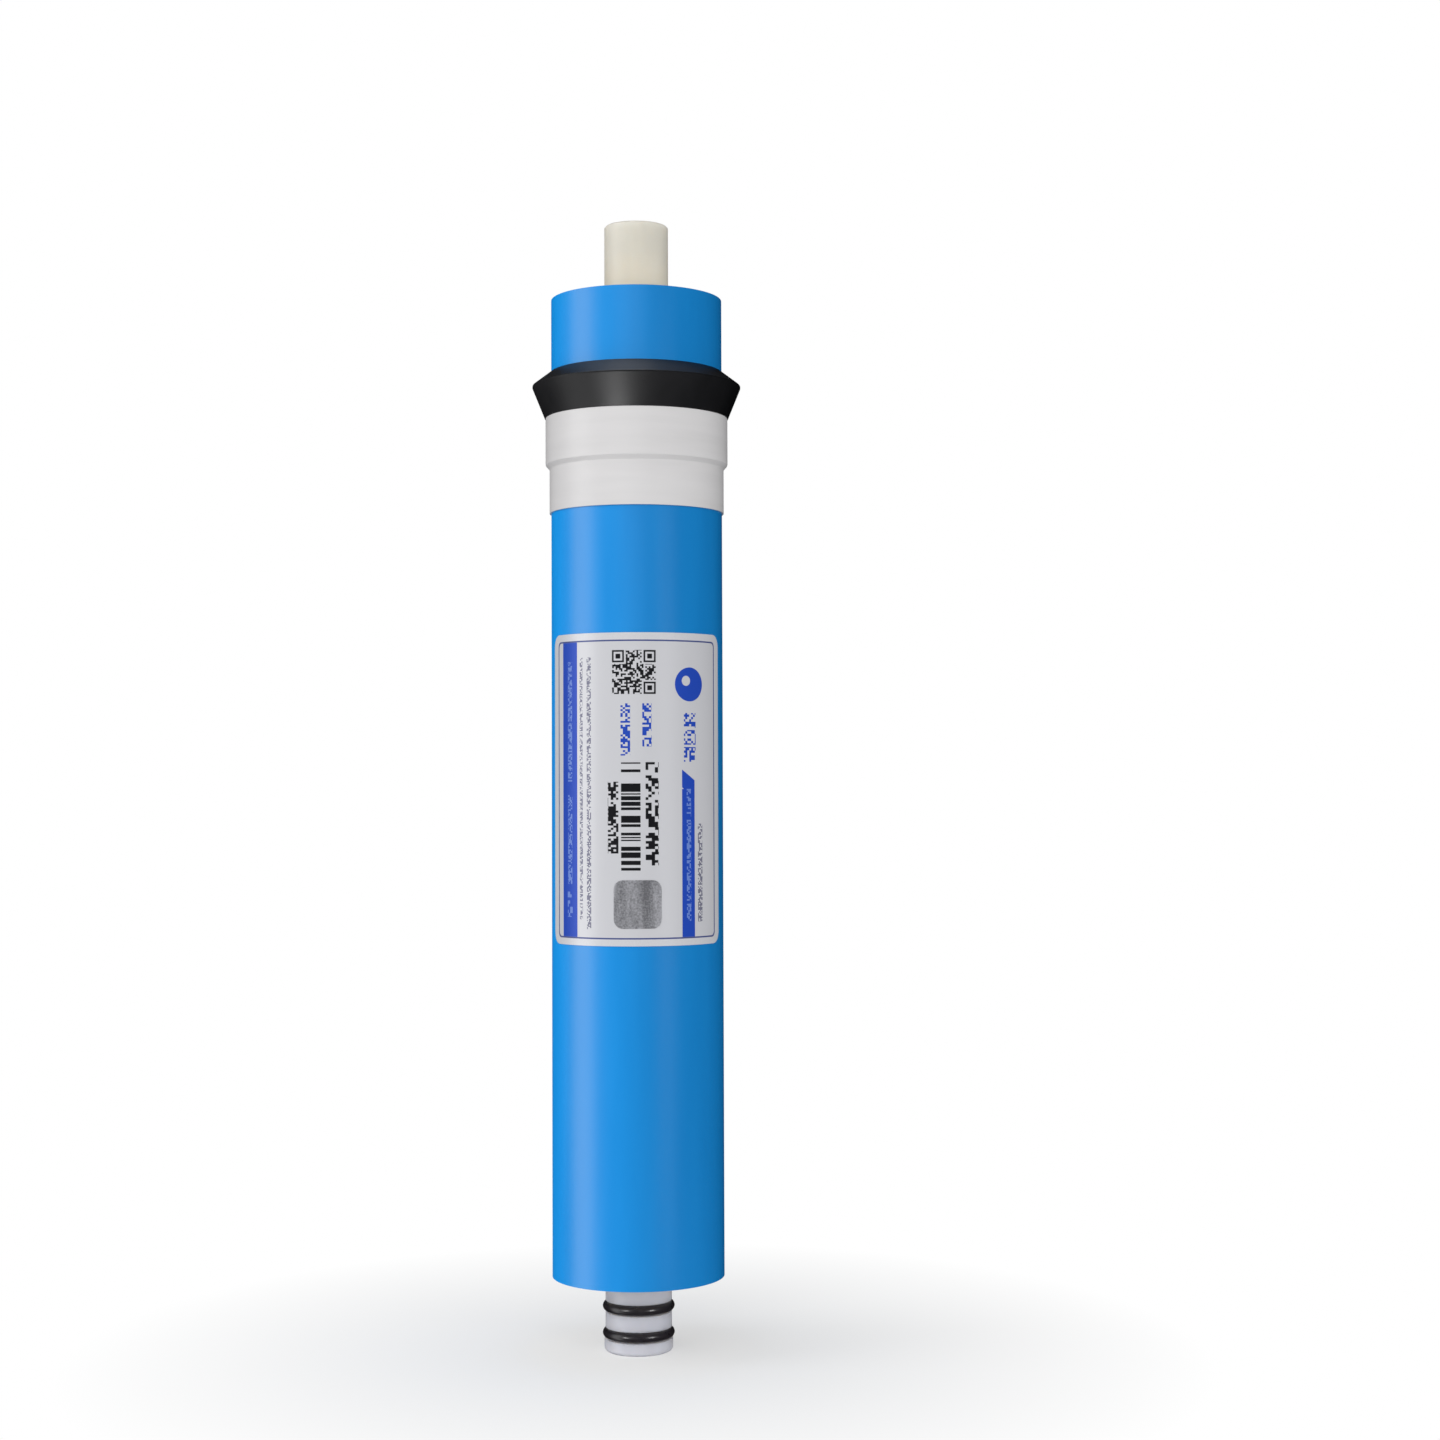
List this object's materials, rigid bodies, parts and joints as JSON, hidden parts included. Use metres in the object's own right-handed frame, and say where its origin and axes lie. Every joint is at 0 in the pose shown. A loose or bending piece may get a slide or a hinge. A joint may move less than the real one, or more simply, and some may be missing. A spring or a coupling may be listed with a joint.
{
  "type": "spiral-wound ro membrane element",
  "caption": "Slim spiral-wound reverse osmosis element with a blue film wrap, rubber lip seal, white tape band, foil label, plain feed stub and O-ringed outlet spigot.",
  "frame": {"origin": "centre of the outlet tip, on the surface that the element stands on", "axes": "+Z along the permeate tube towards the feed end, -Y towards the middle of the label's side"},
  "size_m": [0.0554, 0.0554, 0.298],
  "materials": {
    "tube_plastic": "moulded off-white plastic",
    "plug_plastic": "moulded off-white plastic",
    "tricot_cloth": "knitted polyester, stiffened",
    "membrane_sheet": "coated non-woven sheet",
    "spacer_net": "extruded plastic net",
    "blue_film": "smooth blue film with a soft sheen",
    "seal_rubber": "moulded black rubber, satin",
    "white_tape": "white film tape",
    "label_foil": "brushed silver foil label",
    "sticker_foil": "patterned silver foil",
    "o_ring_rubber": "black rubber, lightly greased"
  },
  "bodies": {
    "root": {"permeate_tube": "tube_plastic", "tube_plug": "plug_plastic", "permeate_carrier": "tricot_cloth", "membrane_leaf": "membrane_sheet", "feed_spacer": "spacer_net", "outer_wrap": "blue_film", "brine_seal": "seal_rubber", "seal_tape": "white_tape", "label": "label_foil", "security_sticker": "sticker_foil", "lower_o_ring": "o_ring_rubber", "upper_o_ring": "o_ring_rubber"}
  },
  "joints": []
}
